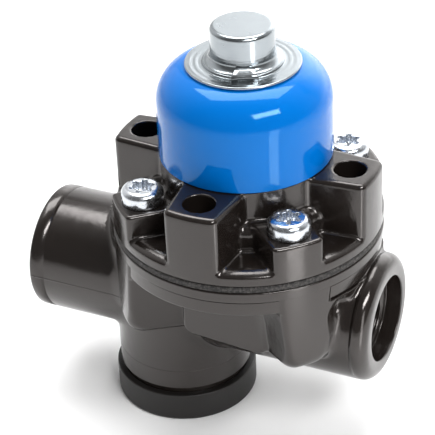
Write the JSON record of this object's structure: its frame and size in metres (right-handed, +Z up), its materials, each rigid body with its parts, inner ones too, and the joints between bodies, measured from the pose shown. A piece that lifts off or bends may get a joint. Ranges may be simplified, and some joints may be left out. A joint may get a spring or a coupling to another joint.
{
  "type": "pressure protection valve",
  "caption": "Diaphragm overflow valve for air brakes: black castings, coaxial ports, check valve chamber, blue dust cap and steel cap.",
  "frame": {"origin": "centre of the four mounting holes, in the plane of the mounting boss tops", "axes": "+Z up along the spring tower, +X along the port axis towards the outlet, -Y towards the front boss"},
  "size_m": [0.1078, 0.078, 0.1266],
  "materials": {
    "casting_paint": "gloss black paint over die casting",
    "rubber": "moulded",
    "brass": "turned",
    "bare_aluminium": "turned",
    "zinc_steel": "zinc plated",
    "screw_zinc": "bright zinc plated",
    "spring_steel": "drawn wire",
    "bright_steel": "bright drawn sheet",
    "blue_plastic": "gloss",
    "black_plastic": "satin"
  },
  "bodies": {
    "housing": {"valve_body": "casting_paint", "cover": "casting_paint", "diaphragm": "rubber", "seat_insert": "brass", "main_spring": "spring_steel", "check_spring": "spring_steel", "lock_nut": "zinc_steel", "dust_cap": "blue_plastic", "steel_cap": "bright_steel", "cover_screw_front_right": "screw_zinc", "cover_screw_front_left": "screw_zinc", "cover_screw_rear_left": "screw_zinc", "cover_screw_rear_right": "screw_zinc", "chamber_plug": "bare_aluminium", "plug_seal_ring": "rubber", "retaining_ring": "spring_steel", "lower_cap": "black_plastic"},
    "piston": {"spring_piston": "bare_aluminium"},
    "plate": {"spring_plate": "zinc_steel"},
    "adjuster": {"adjusting_screw": "zinc_steel"},
    "check": {"check_disc": "bare_aluminium", "check_seal": "rubber"}
  },
  "joints": [
    {"name": "main_valve_lift", "type": "slide", "parent": "housing", "child": "piston", "axis": [0, 0, 1], "range_m": [0, 0.003], "stiffness_N_per_m": 2300, "springref_m": -0.002, "deforming": ["main_spring", "diaphragm"]},
    {"name": "spring_plate_travel", "type": "slide", "parent": "housing", "child": "plate", "axis": [0, 0, 1], "range_m": [-0.0015, 0.0015], "deforming": ["main_spring"]},
    {"name": "adjusting_turn", "type": "hinge", "parent": "plate", "child": "adjuster", "pos_m": [0, 0, 0.02], "axis": [0, 0, 1], "range_deg": [-361, 361]},
    {"name": "check_valve_lift", "type": "slide", "parent": "housing", "child": "check", "axis": [0, 0, -1], "range_m": [0, 0.0025], "stiffness_N_per_m": 300, "springref_m": -0.002, "deforming": ["check_spring"]}
  ],
  "couplings": [
    {"joint": "adjusting_turn", "follows": "spring_plate_travel", "rad_per_m": 4188.8}
  ]
}
